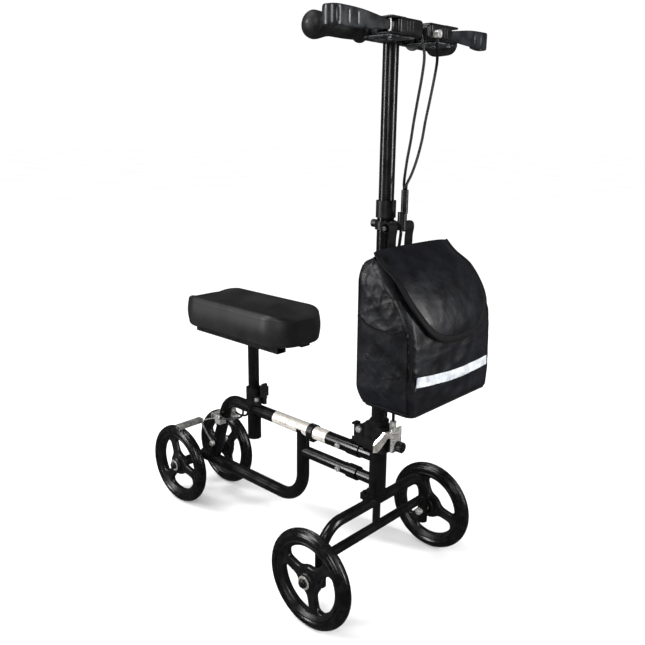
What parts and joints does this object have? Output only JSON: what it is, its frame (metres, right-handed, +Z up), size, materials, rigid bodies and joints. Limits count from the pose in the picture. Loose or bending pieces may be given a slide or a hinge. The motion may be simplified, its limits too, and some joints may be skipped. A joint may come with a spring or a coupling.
{
  "type": "knee scooter",
  "caption": "Steerable knee scooter with a folding column, height-adjustable handlebar and knee pad, hand brake levers acting on the rear tyres, and a black fabric front bag.",
  "frame": {"origin": "centre of the footprint of the whole object, on the floor", "axes": "+X forward, towards the front wheels and the bag; +Y to the rider's left; +Z up"},
  "size_m": [0.85, 0.452, 1.101],
  "materials": {
    "frame_paint": "gloss black powder coat",
    "joint_paint": "satin black powder coat",
    "steel_plate": "zinc plated",
    "polished": "polished",
    "plate_grey": "satin",
    "label_band": "glossy film",
    "black_plastic": "moulded, satin",
    "lever_paint": "satin black",
    "grip_rubber": "matt",
    "cable_sheath": "satin",
    "tyre": "matt rubber",
    "pad_cover": "black synthetic leather over foam",
    "bag_fabric": "coated satin nylon",
    "webbing": "woven"
  },
  "bodies": {
    "frame": {"main_frame": "frame_paint", "head_tube": "frame_paint", "frame_joint_bolts": "steel_plate", "frame_label_band": "label_band", "frame_band_clip": "black_plastic", "tube_bushes": "black_plastic", "seat_collar": "black_plastic", "seat_collar_bolt": "steel_plate", "rear_axle_bolts": "steel_plate", "rear_cables": "cable_sheath", "cable_stops": "steel_plate", "brake_pivot_pin": "steel_plate"},
    "seat": {"seat_post": "frame_paint", "seat_rails": "joint_paint", "pad_board": "black_plastic", "knee_pad": "pad_cover"},
    "seat_lever": {"seat_clamp_lever": "black_plastic"},
    "steering": {"axle_arch_tube": "frame_paint", "axle_lower_beam": "frame_paint", "steerer_tube": "frame_paint", "steering_stop": "black_plastic", "front_axle_bolts": "steel_plate", "fold_base": "joint_paint", "fold_hinge_pin": "steel_plate", "clamp_jaw": "steel_plate", "clamp_knob": "black_plastic"},
    "fold_lever": {"fold_clamp_lever": "polished"},
    "latch": {"fold_latch": "black_plastic"},
    "column": {"fold_head": "joint_paint", "column_tube": "frame_paint", "height_collar": "joint_paint", "cable_bracket": "black_plastic", "cable_adjuster": "steel_plate", "bag_body": "bag_fabric", "bag_straps": "webbing", "lower_cable": "cable_sheath"},
    "bag_lid": {"bag_flap": "bag_fabric"},
    "height_screw": {"height_knob": "black_plastic"},
    "handlebar": {"handlebar_tube": "frame_paint", "grips": "grip_rubber", "lever_housings": "black_plastic", "lever_plates": "plate_grey", "lever_fittings": "steel_plate", "upper_cables": "cable_sheath"},
    "left_lever": {"left_brake_lever": "lever_paint"},
    "right_lever": {"right_brake_lever": "lever_paint"},
    "left_arm": {"left_brake_arm": "steel_plate"},
    "right_arm": {"right_brake_arm": "steel_plate"},
    "front_left_wheel": {"front_left_tyre": "tyre", "front_left_rim": "black_plastic", "front_left_bearings": "steel_plate"},
    "front_right_wheel": {"front_right_tyre": "tyre", "front_right_rim": "black_plastic", "front_right_bearings": "steel_plate"},
    "rear_left_wheel": {"rear_left_tyre": "tyre", "rear_left_rim": "black_plastic", "rear_left_bearings": "steel_plate"},
    "rear_right_wheel": {"rear_right_tyre": "tyre", "rear_right_rim": "black_plastic", "rear_right_bearings": "steel_plate"}
  },
  "joints": [
    {"name": "seat_height", "type": "slide", "parent": "frame", "child": "seat", "axis": [0, 0, 1], "range_m": [-0.1, 0]},
    {"name": "seat_lever_open", "type": "hinge", "parent": "frame", "child": "seat_lever", "pos_m": [-0.096, 0, 0.316], "axis": [0, 1, 0], "range_deg": [0, 90]},
    {"name": "steer", "type": "hinge", "parent": "frame", "child": "steering", "pos_m": [0.255, 0, 0.2], "axis": [0, 0, 1], "range_deg": [-35, 35]},
    {"name": "fold_lever_open", "type": "hinge", "parent": "steering", "child": "fold_lever", "pos_m": [0.305, -0.014, 0.3515], "axis": [0, 0, 1], "range_deg": [0, 110]},
    {"name": "latch_release", "type": "hinge", "parent": "steering", "child": "latch", "pos_m": [0.199, 0, 0.3105], "axis": [0, -1, 0], "range_deg": [0, 12], "stiffness_Nm_per_rad": 0.5},
    {"name": "column_fold", "type": "hinge", "parent": "steering", "child": "column", "pos_m": [0.219, 0, 0.34], "axis": [0, -1, 0], "range_deg": [0, 41]},
    {"name": "bag_lid_open", "type": "hinge", "parent": "column", "child": "bag_lid", "pos_m": [0.327, 0, 0.7306], "axis": [0, -1, 0], "range_deg": [0, 110]},
    {"name": "height_knob_turn", "type": "hinge", "parent": "column", "child": "height_screw", "pos_m": [0.255, 0, 0.753], "axis": [1, 0, 0], "range_deg": [0, 150]},
    {"name": "handlebar_height", "type": "slide", "parent": "column", "child": "handlebar", "axis": [0, 0, 1], "range_m": [-0.2, 0], "deforming": ["upper_cables"]},
    {"name": "left_lever_squeeze", "type": "hinge", "parent": "handlebar", "child": "left_lever", "pos_m": [0.317, 0.084, 1.083], "axis": [0, 0, 1], "range_deg": [0, 10], "stiffness_Nm_per_rad": 1.5, "springref_deg": -5.73},
    {"name": "right_lever_squeeze", "type": "hinge", "parent": "handlebar", "child": "right_lever", "pos_m": [0.317, -0.084, 1.083], "axis": [0, 0, -1], "range_deg": [0, 10], "stiffness_Nm_per_rad": 1.5, "springref_deg": -5.73},
    {"name": "left_brake", "type": "hinge", "parent": "frame", "child": "left_arm", "pos_m": [-0.26035, 0, 0.158], "axis": [0, -1, 0], "range_deg": [0, 2]},
    {"name": "right_brake", "type": "hinge", "parent": "frame", "child": "right_arm", "pos_m": [-0.26035, 0, 0.158], "axis": [0, -1, 0], "range_deg": [0, 2]},
    {"name": "front_left_spin", "type": "hinge", "parent": "steering", "child": "front_left_wheel", "pos_m": [0.255, 0.196, 0.1], "axis": [0, 1, 0], "continuous": true},
    {"name": "front_right_spin", "type": "hinge", "parent": "steering", "child": "front_right_wheel", "pos_m": [0.255, -0.196, 0.1], "axis": [0, 1, 0], "continuous": true},
    {"name": "rear_left_spin", "type": "hinge", "parent": "frame", "child": "rear_left_wheel", "pos_m": [-0.325, 0.075, 0.1], "axis": [0, 1, 0], "continuous": true},
    {"name": "rear_right_spin", "type": "hinge", "parent": "frame", "child": "rear_right_wheel", "pos_m": [-0.325, -0.075, 0.1], "axis": [0, 1, 0], "continuous": true}
  ],
  "couplings": [
    {"joint": "left_brake", "follows": "left_lever_squeeze", "ratio": 0.2},
    {"joint": "right_brake", "follows": "right_lever_squeeze", "ratio": 0.2}
  ]
}
